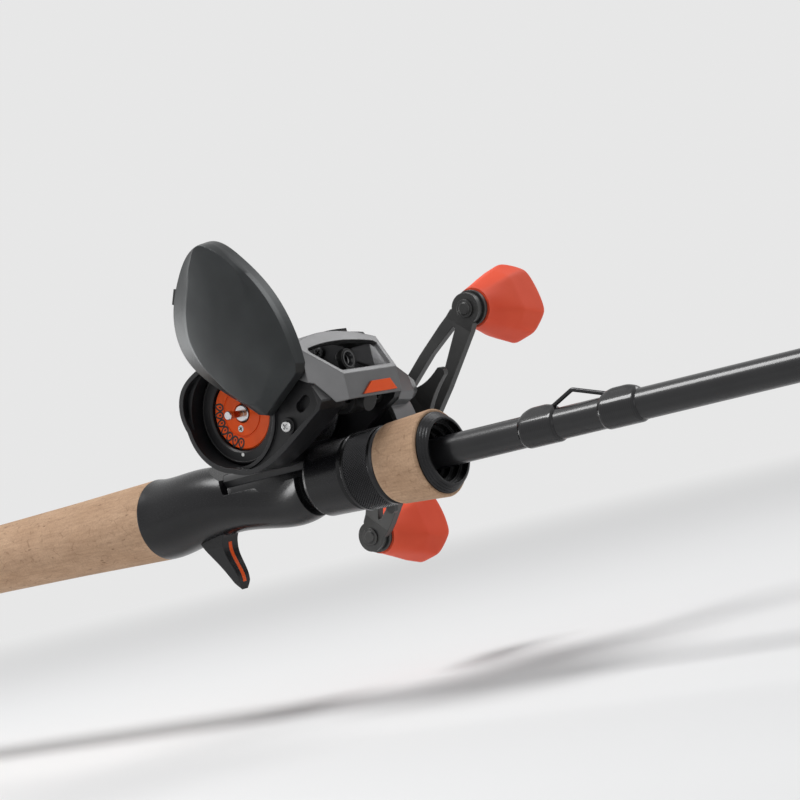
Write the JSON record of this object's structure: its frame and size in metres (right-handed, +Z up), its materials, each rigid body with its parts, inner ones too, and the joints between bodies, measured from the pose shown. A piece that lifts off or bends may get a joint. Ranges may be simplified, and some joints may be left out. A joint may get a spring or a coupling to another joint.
{
  "type": "baitcasting rod and reel",
  "caption": "Casting rod with cork grips, trigger reel seat and line guides, carrying a low profile reel with a swing-open palm plate, brake dial, star drag and double handle.",
  "frame": {"origin": "on the rod axis, straight below the spool axis, where the hand holds the rod and reel", "axes": "+X along the rod to its tip, +Y to the handle side, +Z up through the reel"},
  "size_m": [1.9726, 0.1203, 0.1166],
  "materials": {
    "blank": "gloss",
    "cork": "matte",
    "seat": "gloss",
    "orange": "satin",
    "wing": "satin",
    "hood": "satin",
    "frame": "satin",
    "handle": "satin",
    "nut": "satin",
    "knob": "soft matte",
    "steel": "polished",
    "brass": "machined",
    "bright": "satin",
    "black_plastic": "matte",
    "guide": "gloss",
    "ceramic": "polished",
    "thread": "epoxy gloss",
    "rubber": "matte",
    "drag": "woven",
    "magnet": "polished"
  },
  "bodies": {
    "rod": {"rod_blank": "blank", "rear_grip": "cork", "butt_cap": "rubber", "reel_seat": "seat", "trigger_inlay": "orange", "seat_arbor": "black_plastic", "hook_keeper": "guide", "keeper_wraps": "thread", "guide_frames": "guide", "guide_rings": "ceramic", "guide_wraps": "thread", "tip_top": "guide", "reel_frame": "frame", "front_hood": "hood", "hood_badge": "orange", "palm_bezel": "frame", "bezel_screws": "steel", "brake_housing": "frame", "spool_bearings": "steel", "gear_plate": "frame", "gear_cover": "hood", "cover_screws": "steel", "shaft_bearings": "steel", "one_way_bearing": "steel", "worm_tube": "hood", "plate_pivot_pin": "steel", "dial_post": "steel"},
    "seat_hood": {"seat_hood": "seat"},
    "lock_nut": {"lock_nut": "nut", "foregrip": "cork", "foregrip_trim": "nut"},
    "side_plate": {"side_plate": "wing"},
    "plate_latch": {"plate_latch": "black_plastic"},
    "brake_dial": {"brake_dial": "orange", "dial_screw": "steel"},
    "magnet_carrier": {"magnet_carrier": "black_plastic", "brake_magnets": "magnet"},
    "handle": {"drive_shaft": "steel", "drive_gear": "brass", "ratchet_wheel": "steel", "drag_washers": "drag", "level_wind_drive_gear": "black_plastic", "handle_arm": "handle", "handle_nut": "handle", "knob_spindles": "steel"},
    "star_drag": {"star_drag": "handle"},
    "knob_upper": {"knob_upper": "knob"},
    "knob_lower": {"knob_lower": "knob"},
    "cast_control_cap": {"cast_control_cap": "handle"},
    "spool": {"spool": "bright", "spool_shaft": "steel"},
    "clutch_yoke": {"clutch_yoke": "steel"},
    "pinion": {"pinion": "brass"},
    "thumb_bar": {"thumb_bar": "black_plastic"},
    "worm_shaft": {"worm_shaft": "steel"},
    "idler_gear": {"idler_gear": "black_plastic"},
    "line_guide": {"line_guide": "black_plastic", "line_guide_ring": "ceramic", "level_wind_pawl": "brass"}
  },
  "joints": [
    {"name": "nut_turn", "type": "hinge", "parent": "seat_hood", "child": "lock_nut", "pos_m": [0.033, 0, 0], "axis": [1, 0, 0], "range_deg": [0, 1921]},
    {"name": "hood_slide", "type": "slide", "parent": "rod", "child": "seat_hood", "axis": [1, 0, 0], "range_m": [0, 0.008]},
    {"name": "side_plate_swing", "type": "hinge", "parent": "rod", "child": "side_plate", "pos_m": [0.02825, 0, 0.03775], "axis": [0, -1, 0], "range_deg": [0, 67.5]},
    {"name": "latch_press", "type": "slide", "parent": "side_plate", "child": "plate_latch", "axis": [0.9038, 0, -0.428], "range_m": [0, 0.0015], "stiffness_N_per_m": 150, "springref_m": -0.0004},
    {"name": "dial_turn", "type": "hinge", "parent": "rod", "child": "brake_dial", "pos_m": [0, 0, 0.0266], "axis": [0, 1, 0], "range_deg": [0, 271]},
    {"name": "magnet_slide", "type": "slide", "parent": "rod", "child": "magnet_carrier", "axis": [0, 1, 0], "range_m": [0, 0.0012]},
    {"name": "handle_turn", "type": "hinge", "parent": "rod", "child": "handle", "pos_m": [0.01339, 0, 0.01141], "axis": [0, 1, 0], "continuous": true},
    {"name": "star_turn", "type": "hinge", "parent": "handle", "child": "star_drag", "pos_m": [0.01339, 0, 0.01141], "axis": [0, 1, 0], "range_deg": [-180, 360]},
    {"name": "knob_upper_spin", "type": "hinge", "parent": "handle", "child": "knob_upper", "pos_m": [0.04384, 0, 0.04522], "axis": [0, 1, 0], "continuous": true},
    {"name": "knob_lower_spin", "type": "hinge", "parent": "handle", "child": "knob_lower", "pos_m": [-0.01705, 0, -0.0224], "axis": [0, 1, 0], "continuous": true},
    {"name": "cap_turn", "type": "hinge", "parent": "rod", "child": "cast_control_cap", "pos_m": [0, 0, 0.0266], "axis": [0, 1, 0], "range_deg": [-180, 360]},
    {"name": "spool_spin", "type": "hinge", "parent": "rod", "child": "spool", "pos_m": [0, 0, 0.0266], "axis": [0, 1, 0], "continuous": true},
    {"name": "thumb_press", "type": "slide", "parent": "rod", "child": "thumb_bar", "axis": [0, 0, -1], "range_m": [0, 0.0045]},
    {"name": "yoke_slide", "type": "slide", "parent": "rod", "child": "clutch_yoke", "axis": [0, 1, 0], "range_m": [0, 0.00151]},
    {"name": "pinion_spin", "type": "hinge", "parent": "clutch_yoke", "child": "pinion", "pos_m": [0, 0, 0.0266], "axis": [0, 1, 0], "continuous": true},
    {"name": "worm_spin", "type": "hinge", "parent": "rod", "child": "worm_shaft", "pos_m": [0.0293, 0, 0.0242], "axis": [0, 1, 0], "continuous": true},
    {"name": "idler_spin", "type": "hinge", "parent": "rod", "child": "idler_gear", "pos_m": [0.02408, 0, 0.01687], "axis": [0, 1, 0], "continuous": true},
    {"name": "line_guide_slide", "type": "slide", "parent": "rod", "child": "line_guide", "axis": [0, 1, 0], "range_m": [-0.008, 0.008]}
  ],
  "couplings": [
    {"joint": "nut_turn", "follows": "hood_slide", "rad_per_m": 4188.8},
    {"joint": "dial_turn", "follows": "magnet_slide", "rad_per_m": 3927},
    {"joint": "spool_spin", "follows": "handle_turn", "ratio": -6.5},
    {"joint": "pinion_spin", "follows": "handle_turn", "ratio": -6.5},
    {"joint": "worm_spin", "follows": "handle_turn", "ratio": 1.75},
    {"joint": "idler_spin", "follows": "handle_turn", "ratio": -1.4},
    {"joint": "yoke_slide", "follows": "thumb_press", "ratio": 0.33333}
  ]
}
